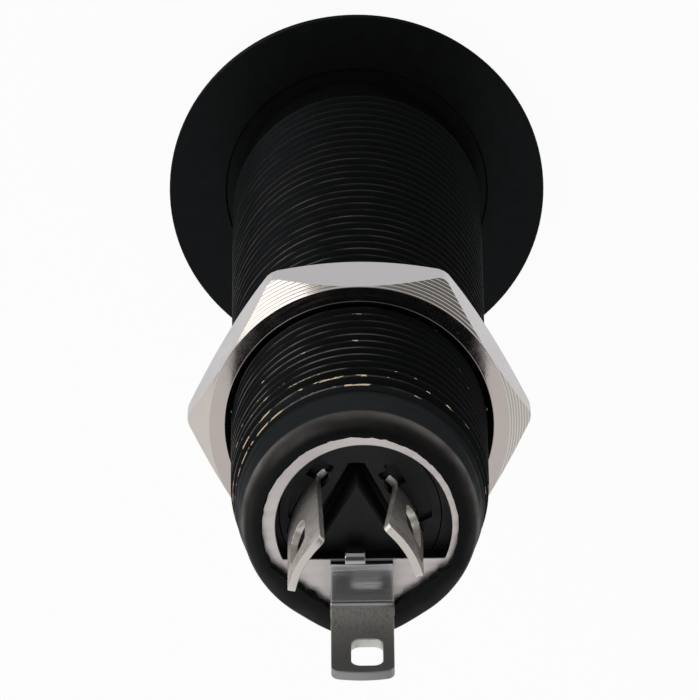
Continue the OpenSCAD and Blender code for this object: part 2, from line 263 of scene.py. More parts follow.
class Nodes:
    """Short calls for the nodes of one tree."""

    def __init__(self, tree: bpy.types.NodeTree) -> None:
        """Keeps the tree that the nodes go into."""
        self.tree = tree

    def first(self, kind: str) -> bpy.types.Node:
        """The node of a kind that the tree starts with."""
        return next(n for n in self.tree.nodes if n.type == kind)

    def add(self, kind: str, **settings: object) -> bpy.types.Node:
        """Adds a node to the tree.

        Args:
            kind: Type of the node.
            settings: Values of the node's properties.

        Returns:
            The new node.
        """
        node = self.tree.nodes.new(kind)
        for key, value in settings.items():
            setattr(node, key, value)
        return node

    def plug(self, socket: Socket, value: Value) -> None:
        """Links an output to a socket, or sets the socket's own value.

        Args:
            socket: Input of a node.
            value: Output of another node, or a constant.
        """
        if isinstance(value, Socket):
            self.tree.links.new(value, socket)
        else:
            socket.default_value = value

    def math(self, operation: str, *values: Value) -> Socket:
        """Adds a Math node.

        Args:
            operation: What the node works out.
            values: Its inputs in order.

        Returns:
            The result.
        """
        node = self.add("ShaderNodeMath", operation=operation)
        for socket, value in zip(node.inputs, values):
            self.plug(socket, value)
        return node.outputs[0]

    def product(self, *values: Value) -> Socket:
        """Product of two or more values."""
        return reduce(lambda first, second: self.math("MULTIPLY", first, second), values)

    def total(self, *values: Value) -> Socket:
        """Sum of two or more values."""
        return reduce(lambda first, second: self.math("ADD", first, second), values)

    def span(self, value: Value, start: float, end: float, to_start: float = 0.0,
             to_end: float = 1.0) -> Socket:
        """Maps a value smoothly from one range to another and holds it at the ends.

        Args:
            value: Value that is mapped.
            start: Value that gives to_start.
            end: Value that gives to_end.
            to_start: Result at the start.
            to_end: Result at the end.

        Returns:
            The mapped value.
        """
        node = self.add("ShaderNodeMapRange", interpolation_type="SMOOTHSTEP")
        for socket, item in zip(node.inputs, (value, start, end, to_start, to_end)):
            self.plug(socket, item)
        return node.outputs[0]


class Shader(Nodes):
    """Short calls for the nodes of one material on Object coordinates."""

    def __init__(self, name: str) -> None:
        """Starts a material with its Principled shader.

        Args:
            name: Name of the material.
        """
        self.material = bpy.data.materials.new(name)
        self.material.use_nodes = True
        super().__init__(self.material.node_tree)
        self.principled = self.first("BSDF_PRINCIPLED")
        self.place = self.add("ShaderNodeTexCoord").outputs["Object"]
        parts = self.add("ShaderNodeSeparateXYZ")
        self.plug(parts.inputs[0], self.place)
        self.x, self.y, self.z = parts.outputs

    def set(self, **values: Value) -> None:
        """Sets or links inputs of the Principled shader, with _ for each space in a name."""
        for key, value in values.items():
            self.plug(self.principled.inputs[key.replace("_", " ")], value)

    def ramp(self, place: Socket, start: float, end: float, to_start: float = 0.0,
             to_end: float = 1.0) -> Socket:
        """A coordinate mapped as span does, between two places in millimetres."""
        return self.span(place, start * MM, end * MM, to_start, to_end)

    def band(self, place: Socket, rise: Range, fall: Range) -> Socket:
        """Mask along a coordinate: 0 to 1 over the rise and back to 0 over the fall, in millimetres."""
        return self.product(self.ramp(place, *rise), self.ramp(place, fall[1], fall[0]))

    def radius(self) -> Socket:
        """Distance from the part's axis, in metres."""
        return self.math("SQRT", self.total(self.product(self.x, self.x), self.product(self.y, self.y)))

    def noise(self, grain: Grain) -> Socket:
        """Adds a noise pattern.

        Args:
            grain: The pattern.

        Returns:
            Its value, from 0 to 1.
        """
        mapping = self.add("ShaderNodeMapping")
        self.plug(mapping.inputs["Vector"], self.place)
        mapping.inputs["Scale"].default_value = [1 / s for s in grain.stretch]
        texture = self.add("ShaderNodeTexNoise")
        self.plug(texture.inputs["Vector"], mapping.outputs[0])
        texture.inputs["Scale"].default_value = grain.scale
        texture.inputs["Detail"].default_value = grain.detail
        return texture.outputs[0]

    def blend(self, factor: Value, first: Value, second: Value) -> Socket:
        """Mixes two colours.

        Args:
            factor: Share of the second colour.
            first: Colour at a factor of 0.
            second: Colour at a factor of 1.

        Returns:
            The mixed colour.
        """
        node = self.add("ShaderNodeMix", data_type="RGBA")
        for socket, value in zip((node.inputs[0], node.inputs[6], node.inputs[7]), (factor, first, second)):
            self.plug(socket, value)
        return node.outputs[2]

    def bump(self, height: Value, depth: float) -> None:
        """Gives the shader's normal a bump.

        Args:
            height: Height of the surface, as a share of the depth.
            depth: Height that a share of 1 stands for, in millimetres.
        """
        node = self.add("ShaderNodeBump")
        node.inputs["Strength"].default_value = 1.0
        node.inputs["Distance"].default_value = depth * MM
        self.plug(node.inputs["Height"], height)
        self.plug(self.principled.inputs["Normal"], node.outputs[0])


@dataclass(frozen=True)
class BlackPlating:
    """Black plating on brass: worn to the brass in spots on the thread's crests, brownish on the rolled lip,
    with painted highlights on the crests of the -X side and on the lip's shoulder.
    """

    crest_r: float
    cone_from: float
    cone_to: float
    cone_drop: float
    colour: Colour = (0.0118, 0.0125, 0.0132, 1)
    # Colour of the painted highlight on the crests and on the lip's shoulder.
    highlight_colour: Colour = (0.19, 0.181, 0.17, 1)
    brass: Colour = (0.75, 0.58, 0.4, 1)
    cone: Colour = (0.022, 0.0245, 0.0255, 1)
    lip: Colour = (0.05, 0.0445, 0.04, 1)
    edge_tint: Colour = (0.45, 0.45, 0.45, 1)
    metallic: float = 0.5
    roughness: Range = (0.26, 0.38)
    thread_from: float = 4.4
    thread_rise: float = 1.0
    thread_fall: float = 0.2
    crest_band: Range = (-0.014, -0.004)
    left_half: float = 3.5
    # Painted highlight on the crests: its patches, and how faint it is near the flange, where shade falls;
    # wear_and_highlight_from also starts the real wear.
    patch_range: Range = (0.4, 0.68)
    front_shine: float = 0.06
    bare_from: float = 15.0
    bare_to: float = 28.0
    front_wear: float = -0.2
    wear_and_highlight_from: float = 30.5
    worn_to: float = 38.5
    handled_wear: float = 0.06
    cloud_wear: float = 0.12
    last_turns: float = 36.5
    last_wear: float = 0.13
    bare_above: float = 0.77
    # Place of the painted highlight on the lip's shoulder, lighter towards the sides.
    shoulder: float = 41.82
    shoulder_rise: float = 0.18
    shoulder_fall: float = 0.6
    shoulder_sides: Range = (1.0, 5.0)
    highlight_range: Range = (0.35, 0.65)
    highlight_share: Range = (0.45, 1.0)
    lip_from: float = 41.65
    lip_rise: float = 0.25
    lip_to: float = 42.75
    lip_fall: float = 0.35
    cone_rise: float = 0.8
    cone_fall: float = 0.15
    turning_depth: float = 0.006
    patches: Grain = Grain(700, 4, (1.5, 1.5, 0.4))
    cloud: Grain = Grain(420)
    chips: Grain = Grain(3400, 3, (2.4, 2.4, 1))
    highlight_breakup: Grain = Grain(600, 3)
    tarnish: Grain = Grain(900, 3)
    gloss: Grain = Grain(1500, 3)
    turning: Grain = Grain(5000, 3, (1000, 1000, 1))

    def crests(self, s: Shader) -> Socket:
        """Masks the thread's crests, which come down on the cone.

        Args:
            s: Shader of the plating.

        Returns:
            The mask.
        """
        top = s.ramp(s.z, self.cone_from, self.cone_to, self.crest_r * MM,
                     (self.crest_r - self.cone_drop) * MM)
        threaded = s.band(s.z, (self.thread_from, self.thread_from + self.thread_rise),
                          (self.cone_to, self.cone_to + self.thread_fall))
        return s.product(threaded, s.ramp(s.math("SUBTRACT", s.radius(), top), *self.crest_band))

    def painted_highlight(self, s: Shader, crests: Socket, left: Socket) -> Socket:
        """Masks the painted highlights: patches of the crests on the -X side, fading to painted shade
        towards the flange, and the lip's shoulder, lighter towards its sides.

        Args:
            s: Shader of the plating.
            crests: Mask of the thread's crests.
            left: Mask of the barrel's -X side.

        Returns:
            The mask.
        """
        patchy = s.product(s.span(s.noise(self.patches), *self.patch_range),
                           s.ramp(s.z, self.thread_from, self.wear_and_highlight_from, self.front_shine))
        shoulder = s.band(s.z, (self.shoulder - self.shoulder_rise, self.shoulder),
                          (self.shoulder, self.shoulder + self.shoulder_fall))
        sides = s.ramp(s.math("ABSOLUTE", s.x), *self.shoulder_sides, *self.highlight_share)
        uneven = s.span(s.noise(self.highlight_breakup), *self.highlight_range, *self.highlight_share)
        return s.math("MAXIMUM", s.product(left, patchy, crests), s.product(sides, uneven, shoulder))

    def bare(self, s: Shader, crests: Socket, left: Socket) -> Socket:
        """Masks the spots where the crests are worn down to the brass.

        Args:
            s: Shader of the plating.
            crests: Mask of the thread's crests.
            left: Mask of the barrel's -X side.

        Returns:
            The mask.
        """
        wear_and_highlight = s.product(s.ramp(s.z, self.wear_and_highlight_from, self.worn_to), left)
        wear = s.total(s.product(self.handled_wear, wear_and_highlight),
                       s.product(self.cloud_wear, s.noise(self.cloud)))
        rear = s.total(s.ramp(s.z, self.bare_from, self.bare_to, self.front_wear, 0.0),
                       s.ramp(s.z, self.last_turns, self.cone_to, 0.0, self.last_wear))
        worn = s.total(wear, rear, s.noise(self.chips))
        return s.product(crests, s.math("GREATER_THAN", worn, self.bare_above))

    def plated(self, s: Shader) -> Socket:
        """Works out the colour of the plating under the painted highlights.

        Args:
            s: Shader of the plating.

        Returns:
            The colour.
        """
        rolled = s.band(s.z, (self.lip_from, self.lip_from + self.lip_rise),
                        (self.lip_to - self.lip_fall, self.lip_to))
        run_out = s.band(s.z, (self.cone_to, self.cone_to + self.cone_rise),
                         (self.lip_from, self.lip_from + self.cone_fall))
        return s.blend(s.product(rolled, s.noise(self.tarnish)),
                       s.blend(run_out, self.colour, self.cone), self.lip)

    def material(self) -> bpy.types.Material:
        """Makes the plating.

        Returns:
            The new material.
        """
        s = Shader("black_plating")
        crests = self.crests(s)
        left = s.ramp(s.x, self.left_half, -self.left_half)
        # Painted highlight on the lit crests and the lip's shoulder, then real brass where the crests are
        # worn through.
        wear_and_highlight = s.blend(self.painted_highlight(s, crests, left), self.plated(s), self.highlight_colour)
        s.set(Base_Color=s.blend(self.bare(s, crests, left), wear_and_highlight, self.brass),
              Metallic=self.metallic,
              Specular_IOR_Level=0.0,
              Specular_Tint=self.edge_tint,
              Roughness=s.span(s.noise(self.gloss), *NOISE_RANGE, *self.roughness))
        s.bump(s.noise(self.turning), self.turning_depth)
        return s.material


@dataclass(frozen=True)
class NickelPlating:
    """Nickel plating with fine marks: turned lines round the part's axis, or a grain along one axis."""

    name: str
    colour: Colour
    roughness: Range
    lines_per_mm: float = 0.0
    line_depth: float = 0.0
    mark_depth: float = 0.003
    metallic: float = 1.0
    dark_share: float = 0.9
    cloud_scale: float = 900
    cloud_detail: float = 4
    mark_scale: float = 6000
    mark_detail: float = 3
    stretch: Triple = (1, 1, 1)

    def material(self) -> bpy.types.Material:
        """Makes the plating.

        Returns:
            The new material.
        """
        s = Shader(self.name)
        cloud = s.noise(Grain(self.cloud_scale, self.cloud_detail, self.stretch))
        dark = [c * self.dark_share for c in self.colour[:3]] + [1]
        s.set(Base_Color=s.blend(cloud, dark, self.colour),
              Metallic=self.metallic,
              Roughness=s.span(cloud, *NOISE_RANGE, *self.roughness))
        if self.lines_per_mm:
            turn = s.product(s.radius(), self.lines_per_mm / MM * math.tau)
            s.bump(s.math("SINE", turn), self.line_depth)
        else:
            s.bump(s.noise(Grain(self.mark_scale, self.mark_detail, self.stretch)), self.mark_depth)
        return s.material


@dataclass(frozen=True)
class DullNickel:
    """Dull nickel on the ground lug: brushed across where it lies flat, and along its upright; painted
    darker where it lies flat and lighter on its upright, and darker towards the free end.
    """

    bend_from: float
    bend_to: float
    end: float
    # Painted light: the flat part's dark bluish colour and the upright's light colour are one nickel as
    # shaded and lit copies.
    flat: Colour = (0.4, 0.402, 0.412, 1)
    upright: Colour = (0.86, 0.84, 0.78, 1)
    free_end: Colour = (0.27, 0.267, 0.265, 1)
    stain: Colour = (0.26, 0.26, 0.265, 1)
    stain_range: Range = (0.1, 0.55)
    flat_roughness: float = 0.12
    upright_roughness: float = 0.42
    across: Grain = Grain(6000, 3, (12, 0.5, 0.5))
    along: Grain = Grain(9000, 3, (0.5, 0.5, 12))
    across_share: float = 0.5
    brush_depth: float = 0.003

    def material(self) -> bpy.types.Material:
        """Makes the plating.

        Returns:
            The new material.
        """
        s = Shader("nickel_lug")
        up = s.ramp(s.z, self.bend_from, self.bend_to)
        across = s.product(s.noise(self.across), s.math("SUBTRACT", 1.0, up))
        along = s.product(s.noise(self.along), up)
        # Darker towards the free end; flat and upright are painted as shaded and lit copies, then real
        # stains.
        darker_to_end = s.blend(s.ramp(s.z, self.bend_to, self.end), self.upright, self.free_end)
        painted_flat_and_upright = s.blend(up, self.flat, darker_to_end)
        s.set(Base_Color=s.blend(s.span(s.total(across, along), *self.stain_range), self.stain, painted_flat_and_upright),
              Metallic=1.0,
              Roughness=s.span(up, 0.0, 1.0, self.flat_roughness, self.upright_roughness))
        s.bump(s.total(s.product(across, self.across_share), along), self.brush_depth)
        return s.material


@dataclass(frozen=True)
class MouldedPlastic:
    """Black moulded plastic with a soft gloss."""

    name: str
    colour: Colour = (0.011, 0.0118, 0.0135, 1)
    roughness: Range = (0.3, 0.42)
    specular: float = 0.2
    gloss: Grain = Grain(1200, 3)
    skin: Grain = Grain(5000)
    skin_depth: float = 0.003

    def material(self) -> bpy.types.Material:
        """Makes the plastic.

        Returns:
            The new material.
        """
        s = Shader(self.name)
        s.set(Base_Color=self.colour,
              Roughness=s.span(s.noise(self.gloss), *NOISE_RANGE, *self.roughness),
              Specular_IOR_Level=self.specular)
        s.bump(s.noise(self.skin), self.skin_depth)
        return s.material


@dataclass
class Barrel:
    """Turned barrel with its flange, outside thread and rolled rear lip."""

    thread_r: float = 5.95
    pitch: float = 25.4 / 32
    groove: float = 0.42
    half_turn: tuple[Point, ...] = ((0.0, 1.0), (0.07, 1.0), (0.37, 0.09), (0.42, 0.02), (0.47, 0.0))
    turn_steps: int = 144
    round_steps: int = 12
    relief_r: float = 5.5
    thread_foot: float = 3.95
    thread_top: float = 38.0
    fade_len: float = 1.8
    fade_drop: float = 0.2
    groove_from: float = 38.9
    groove_to: float = 40.3
    groove_end: float = 41.2
    groove_left: float = 0.1
    lip_r: float = 5.45
    lip_in_r: float = 4.5
    lip_round_h: float = 1.16
    lip_round_deg: float = 86
    lip_edge: float = 0.07
    lip_uneven: float = 0.16
    uneven_far: float = 0.3
    uneven_coarse: float = 4
    uneven_fine: float = 11
    lip_fold: float = 0.48
    lip_fold_deg: float = 38
    plug_r: float = 3.2
    mouth_chamfer: float = 0.5
    flange_t: float = 2.0
    flange_rim: float = 0.25
    flange_dome_deg: float = 35
    recess_r: float = 6.25
    recess_depth: float = 0.12
    edge_break: float = 0.06
    bulge_out: float = 0.4
    bulge_deg: float = 34
    slot_w: float = 2.94
    slot_x: float = 0.05
    slot_side_y: float = -2.0
    length: float = field(default_factory=lambda: high("barrel").z)
    flange_r: float = field(default_factory=lambda: high("barrel").x)
    plate_z: float = field(default_factory=lambda: low("end_plate").z)
    plate_top: float = field(default_factory=lambda: high("end_plate").z)
    seat_r: float = field(default_factory=lambda: high("end_plate").x + FIT_GAP)
    bore_r: float = field(default_factory=lambda: high("insulating_liner").x + FIT_GAP)
    ledge_z: float = field(default_factory=lambda: low("insulating_liner").z)

    @property
    def cone_end(self) -> float:
        """Height at which the thread's cone ends."""
        return self.thread_top + self.fade_len

    @property
    def lip_z(self) -> float:
        """Height at which the lip starts to roll in."""
        return self.length - self.lip_round_h

    def section(self) -> list[Point]:
        """Share of the pitch and of the groove's depth along one turn, from root to root."""
        return [*self.half_turn, *((1 - share, depth) for share, depth in reversed(self.half_turn))]

    def crest(self, height: float) -> float:
        """Works out the radius of the thread's crests, which falls on the cone before the lip.

        Args:
            height: Height on the barrel.

        Returns:
            The radius.
        """
        cone = self.thread_r - self.fade_drop * smooth((height - self.thread_top) / self.fade_len)
        past = (height - self.cone_end) / (self.lip_z - self.cone_end)
        return cone + (self.lip_r - cone) * max(0.0, past)

    def groove_share(self, height: float) -> float:
        """Works out how deep the groove still is, because it runs out on the cone.

        Args:
            height: Height on the barrel.

        Returns:
            Share of the groove's full depth.
        """
        deep = 1 - smooth((height - self.groove_from) / (self.groove_to - self.groove_from))
        fading = smooth((self.groove_end - height) / (self.groove_end - self.groove_to))
        return max(deep, self.groove_left * fading)

    def thread(self, bm: BMesh) -> None:
        """Spins one turn of the thread, doubles it up the barrel and trims it square at both ends.

        Args:
            bm: Empty mesh that the thread goes into.
        """
        start = self.thread_foot - 2 * self.pitch
        verts = [bm.verts.new((self.thread_r - self.groove * depth, 0, start + self.pitch * share))
                 for share, depth in self.section()]
        edges = [bm.edges.new(pair) for pair in zip(verts, verts[1:])]
        bmesh.ops.spin(bm, geom=verts + edges, cent=(0, 0, 0), axis=(0, 0, 1),
                       dvec=(0, 0, self.pitch / self.turn_steps), angle=math.tau,
                       steps=self.turn_steps, use_merge=False)
        turns = 1
        while start + turns * self.pitch < self.groove_end:
            copied = bmesh.ops.duplicate(bm, geom=everything(bm))["geom"]
            bmesh.ops.translate(bm, vec=(0, 0, turns * self.pitch), verts=only_verts(copied))
            turns *= 2
        bmesh.ops.remove_doubles(bm, verts=bm.verts, dist=MERGE)
        for height, side in ((self.thread_foot, -1), (self.groove_end, 1)):
            bmesh.ops.bisect_plane(bm, geom=everything(bm), dist=MERGE, plane_co=(0, 0, height),
                                   plane_no=(0, 0, side), clear_outer=True)
        for v in bm.verts:
            radius = v.co.xy.length
            depth = (self.thread_r - radius) * self.groove_share(v.co.z)
            relief = self.relief_r + v.co.z - self.thread_foot
            v.co.xy *= min(self.crest(v.co.z) - depth, relief) / radius

    def rear_rows(self) -> list[Point]:
        """Lists the outside of the rolled end, the lip, the plate's seat and the main bore.

        Returns:
            Radius and height of each ring.
        """
        radii = (self.lip_r - self.lip_in_r, self.lip_round_h)
        return [*arc((self.lip_in_r, self.lip_z), radii, 0, self.lip_round_deg, self.round_steps),
                (self.lip_in_r, self.length - self.lip_edge), (self.lip_in_r, self.plate_top),
                (self.seat_r, self.plate_top), (self.seat_r, self.plate_z),
                (self.bore_r, self.plate_z), (self.bore_r, self.ledge_z)]

    def front_rows(self) -> list[Point]:
        """Lists the relief, the flange and the plug's bore.

        Returns:
            Radius and height of each ring.
        """
        floor, edge = self.flange_t - self.recess_depth, self.edge_break
        dome_turn = math.radians(self.flange_dome_deg)
        dome_r = (self.flange_t - self.flange_rim) / (1 - math.sin(dome_turn))
        dome_x = self.flange_r - dome_r * math.cos(dome_turn)
        return [(self.relief_r, floor), (self.recess_r, floor), (self.recess_r, self.flange_t - edge),
                (self.recess_r + edge, self.flange_t), (self.flange_r - edge, self.flange_t),
                (self.flange_r, self.flange_t - edge),
                *arc((dome_x, dome_r), (dome_r, dome_r), -self.flange_dome_deg, -90, self.round_steps),
                (self.plug_r + self.mouth_chamfer, 0), (self.plug_r, self.mouth_chamfer),
                (self.plug_r, self.ledge_z)]

    def bulge(self, bm: BMesh) -> None:
        """Pushes the lip out where the ground lug forces it open.

        Args:
            bm: Mesh of the barrel.
        """
        for v in bm.verts:
            radius = v.co.xy.length
            if v.co.z > self.cone_end + MERGE and radius > self.seat_r + MERGE:
                lift = smooth((v.co.z - self.cone_end) / (self.lip_z - self.cone_end))
                share = min(1.0, (radius - self.lip_in_r) / (self.lip_r - self.lip_in_r))
                near = hump(off_lug_deg(v.co) / self.bulge_deg)
                v.co.xy *= 1 + self.bulge_out * near * lift * share / radius

    def fold(self, bm: BMesh) -> None:
        """Folds the lip further in on both sides of the ground lug.

        Args:
            bm: Mesh of the barrel.
        """
        for v in bm.verts:
            radius = v.co.xy.length
            on_seat = abs(radius - self.seat_r) < MERGE and v.co.z < self.plate_top + MERGE
            if v.co.z > self.plate_top - MERGE and radius < self.lip_r and not on_seat:
                reach = max(math.cos(math.radians(off_lug_deg(v.co) - self.lip_fold_deg)), MERGE)
                inward = max(0.0, self.lip_in_r - (self.lip_in_r - self.lip_fold) / reach)
                share = smooth((self.lip_r - radius) / (self.lip_r - self.lip_in_r))
                v.co.xy *= 1 - inward * share / radius

    def ragged_lip(self, bm: BMesh) -> None:
        """Makes the rolled lip's inner edge a little uneven, most of all beside the ground lug.

        Args:
            bm: Mesh of the barrel.
        """
        for v in bm.verts:
            radius = v.co.xy.length
            if v.co.z > self.plate_top - MERGE and radius < self.lip_in_r + self.lip_edge + MERGE:
                uneven = noise.noise(v.co * self.uneven_coarse) + noise.noise(v.co * self.uneven_fine) / 2
                share = self.uneven_far + (1 - self.uneven_far) * smooth(-v.co.y / self.lip_in_r)
                v.co.xy *= 1 + self.lip_uneven * uneven * share / radius

    def slot(self, bm: BMesh) -> None:
        """Cuts the slot for the ground lug through the lip and closes its walls.

        Args:
            bm: Mesh of the barrel.
        """
        left, right = (self.slot_x + side * self.slot_w / 2 for side in (-1, 1))
        cuts = [((x, 0, 0), (1, 0, 0)) for x in (left, right)] + [((0, 0, self.plate_top), (0, 0, 1))]
        for place, normal in cuts:
            near = [f for f in bm.faces if f.calc_center_median().y < self.slot_side_y and
                    max(v.co.z for v in f.verts) > self.plate_top - MERGE]
            geom = {item for f in near for item in (f, *f.edges, *f.verts)}
            bmesh.ops.bisect_plane(bm, geom=list(geom), dist=CUT_MERGE, plane_co=place, plane_no=normal)
        gone = []
        for f in bm.faces:
            middle = f.calc_center_median()
            if left < middle.x < right and middle.y < 0 and middle.z > self.plate_top - MERGE:
                gone.append(f)
        bmesh.ops.delete(bm, geom=gone, context="FACES")
        rim = [e for e in open_ring(bm, self.plate_top)
               if all(left - MERGE < v.co.x < right + MERGE and v.co.y < 0 for v in e.verts)
               and abs(e.verts[0].co.x - e.verts[1].co.x) > MERGE]
        bmesh.ops.bridge_loops(bm, edges=rim)
        bmesh.ops.holes_fill(bm, edges=[e for e in bm.edges if e.is_boundary], sides=0)

    def build(self) -> BMesh:
        """Builds the barrel.

        Returns:
            One closed mesh.
        """
        bm = bmesh.new()
        self.thread(bm)
        rear = sweep_ring(bm, open_ring(bm, self.groove_end), self.rear_rows())
        front = sweep_ring(bm, open_ring(bm, self.thread_foot), self.front_rows())
        bmesh.ops.bridge_loops(bm, edges=rear + front)
        self.bulge(bm)
        self.fold(bm)
        self.ragged_lip(bm)
        self.slot(bm)
        return bm

    def dress(self) -> bpy.types.Object:
        """Builds the barrel and gives it its plating."""
        plating = BlackPlating(self.thread_r, self.thread_top, self.cone_end, self.fade_drop)
        return finish_piece(self.build(), "barrel", Body.JACK, [plating.material()])


class NutFace(Enum):
    """Material indices on the nut."""

    END = 0
    SIDE = 1
    CHAMFER = 2
    BORE = 3


@dataclass
class HexNut:
    """Six-sided nut with turned chamfers, on the barrel's thread."""

    flats: float = 14.0
    corner_cut: float = 0.1
    bore_r: float = 5.98
    bore_chamfer: float = 0.25
    burr_w: float = 0.05
    burr_h: float = 0.015
    face_inset: float = 0.03
    side_tilt: float = 0.1
    side_steps: int = 32
    foot: float = field(default_factory=lambda: low("hex_nut").z)
    top: float = field(default_factory=lambda: high("hex_nut").z)

    def outside(self, angle: float) -> float:
        """Works out the distance from the axis to the nut's side.

        Args:
            angle: Angle about the axis.

        Returns:
            The distance.
        """
        sixth = math.tau / 6
        off_flat = angle % sixth - sixth / 2
        return min(self.flats / 2 / math.cos(off_flat), self.flats / math.sqrt(3) - self.corner_cut)

    def upper_side(self, angle: float) -> Point:
        """Upper edge of the nut's side at an angle, on the turned cone."""
        radius = self.outside(angle)
        return radius, self.top - (radius - self.flats / 2 + self.face_inset)

    def lower_side(self, angle: float) -> Point:
        """Lower edge of the nut's side at an angle, on the turned cone."""
        radius = self.outside(angle)
        return radius, self.foot + (radius - self.flats / 2 + self.face_inset)

    def face_kind(self, face: BMFace) -> NutFace:
        """Tells which of the nut's finishes a face has.

        Args:
            face: Face of the nut.

        Returns:
            The finish.
        """
        radius = face.calc_center_median().xy.length
        if radius < self.bore_r + self.bore_chamfer:
            return NutFace.BORE
        if radius < self.flats / 2 - self.face_inset - MERGE:
            return NutFace.END
        return NutFace.SIDE if abs(face.normal.z) < self.side_tilt else NutFace.CHAMFER

    def build(self) -> BMesh:
        """Builds the nut.

        Returns:
            One closed mesh.
        """
        bm = bmesh.new()
        bmesh.ops.create_circle(bm, cap_ends=False, segments=6 * self.side_steps, radius=self.bore_r)
        bmesh.ops.translate(bm, vec=(0, 0, self.foot + self.bore_chamfer), verts=bm.verts)
        first = bm.edges[:]
        mouth = self.bore_r + self.bore_chamfer
        face_r = self.flats / 2 - self.face_inset
        last = sweep_ring(bm, first, [
            (self.bore_r, self.top - self.bore_chamfer), (mouth, self.top),
            (mouth + self.burr_w / 2, self.top + self.burr_h), (mouth + self.burr_w, self.top),
            (face_r, self.top), self.upper_side, self.lower_side, (face_r, self.foot), (mouth, self.foot)])
        bmesh.ops.bridge_loops(bm, edges=first + last)
        bm.normal_update()
        for f in bm.faces:
            f.material_index = self.face_kind(f).value
        return bm

    def finishes_and_painted_light(self) -> dict[NutFace, NickelPlating]:
        """Lists the finish of each kind of face: lit and shaded copies of one nickel, with a painted
        highlight on the chamfers and painted shade in the bore.

        Returns:
            The finishes.
        """
        return {
            # Painted light: end, sides and chamfers are one nickel, each given its own lighter or darker
            # colour; the bore is painted near black as shade.
            NutFace.END: NickelPlating("nickel_end_painted_light", (0.5, 0.447, 0.428, 1), (0.08, 0.16), mark_depth=0.001),
            NutFace.SIDE: NickelPlating("nickel_side_painted_light", (0.46, 0.438, 0.446, 1), (0.22, 0.28),
                                        mark_depth=0.001),
            NutFace.CHAMFER: NickelPlating("nickel_chamfer_painted_highlight", (0.58, 0.535, 0.5, 1), (0.14, 0.2),
                                           lines_per_mm=8.2, line_depth=0.006),
            NutFace.BORE: NickelPlating("nickel_bore_painted_shade", (0.05, 0.047, 0.043, 1), (0.4, 0.6)),
        }

    def dress(self) -> bpy.types.Object:
        """Builds the nut and gives it its plating."""
        materials = [self.finishes_and_painted_light()[kind].material() for kind in NutFace]
        return finish_piece(self.build(), "hex_nut", Body.NUT, materials)


class Blank:
    """A flat piece cut from sheet: drawn in X and Y, thickened about Z = 0, sliced and then bent."""

    def __init__(self, outlines: Iterable[Sequence[Point]], thickness: float, edge_round: float) -> None:
        """Cuts the piece out.

        Args:
            outlines: The outer outline and the outlines of the holes.
            thickness: Thickness of the sheet.
            edge_round: Size of the rounding on every edge.
        """
        self.bm = bmesh.new()
        for points in outlines:
            verts = [self.bm.verts.new((x, y, -thickness / 2)) for x, y in points]
            for pair in zip(verts, verts[1:] + verts[:1]):
                self.bm.edges.new(pair)
        bmesh.ops.remove_doubles(self.bm, verts=self.bm.verts, dist=MERGE)
        bmesh.ops.triangle_fill(self.bm, use_beauty=True, edges=self.bm.edges[:], normal=(0, 0, 1))
        lifted = bmesh.ops.extrude_face_region(self.bm, geom=self.bm.faces[:], use_keep_orig=True)["geom"]
        bmesh.ops.translate(self.bm, vec=(0, 0, thickness), verts=only_verts(lifted))
        bmesh.ops.recalc_face_normals(self.bm, faces=self.bm.faces)
        bmesh.ops.dissolve_limit(self.bm, angle_limit=FLAT_ANGLE, verts=self.bm.verts, edges=self.bm.edges)
        rim = [e for e in self.bm.edges if e.calc_face_angle(0) > RIM_ANGLE]
        round_edges(self.bm, rim, edge_round, RIM_STEPS)

    def slice(self, axis: Axis, places: Iterable[float]) -> None:
        """Cuts the faces, so that they can bend there.

        Args:
            axis: Direction along which the cuts follow each other.
            places: Places of the cuts along that direction.
        """
        for place in places:
            bmesh.ops.bisect_plane(self.bm, geom=everything(self.bm), dist=CUT_MERGE,
                                   plane_co=axis.value * place, plane_no=axis.value)

    def bend(self, move: Callable[[Vector], Vector]) -> BMesh:
        """Moves every point.

        Args:
            move: Gives the new place of a point.

        Returns:
            The bent mesh.
        """
        for v in self.bm.verts:
            v.co = move(v.co)
        return self.bm


@dataclass
class EndPlate:
    """Silver plate under the rolled lip, with a hole that has one straight side."""

    rim: float = 0.45
    lip_in_r: float = 4.5
    chord: float = 1.75
    shift: float = 0.15
    edge_round: float = 0.04
    edge_tilt: float = 0.3
    steps: int = 120
    foot: float = field(default_factory=lambda: low("end_plate").z)
    top: float = field(default_factory=lambda: high("end_plate").z)
    radius: float = field(default_factory=lambda: high("end_plate").x)

    def build(self) -> BMesh:
        """Builds the plate.

        Returns:
            One closed mesh, with material 1, a dark painted shade, on its cut edges.
        """
        hole_r = self.lip_in_r - self.rim
        corner = math.degrees(math.asin((self.shift - self.chord) / hole_r))
        hole = arc((self.shift, -self.shift), (hole_r, hole_r), corner, 180 - corner, self.steps)
        disc = arc((0, 0), (self.radius, self.radius), 0, 360, self.steps)[:-1]
        blank = Blank([disc, hole], self.top - self.foot, self.edge_round)
        middle = (self.top + self.foot) / 2
        bm = blank.bend(lambda p: Vector((p.x, p.y, p.z + middle)))
        bm.normal_update()
        for f in bm.faces:
            # Painted shade: faces that stand upright get the dark edge material.
            f.material_index = int(abs(f.normal.z) < self.edge_tilt)
        return bm

    def dress(self) -> bpy.types.Object:
        """Builds the plate and gives it its finish.

        Returns:
            The new object.
        """
        finish = NickelPlating("machined_plate", (0.64, 0.6, 0.588, 1), (0.34, 0.46), mark_depth=0.004,
                               stretch=(14, 0.4, 1))
        # Painted shade: the cut edges get a dark copy of the plate's metal.
        edge = NickelPlating("plate_edge_painted_shade", (0.12, 0.11, 0.1, 1), (0.2, 0.3))
        return finish_piece(self.build(), "end_plate", Body.JACK,
                            [finish.material(), edge.material()])


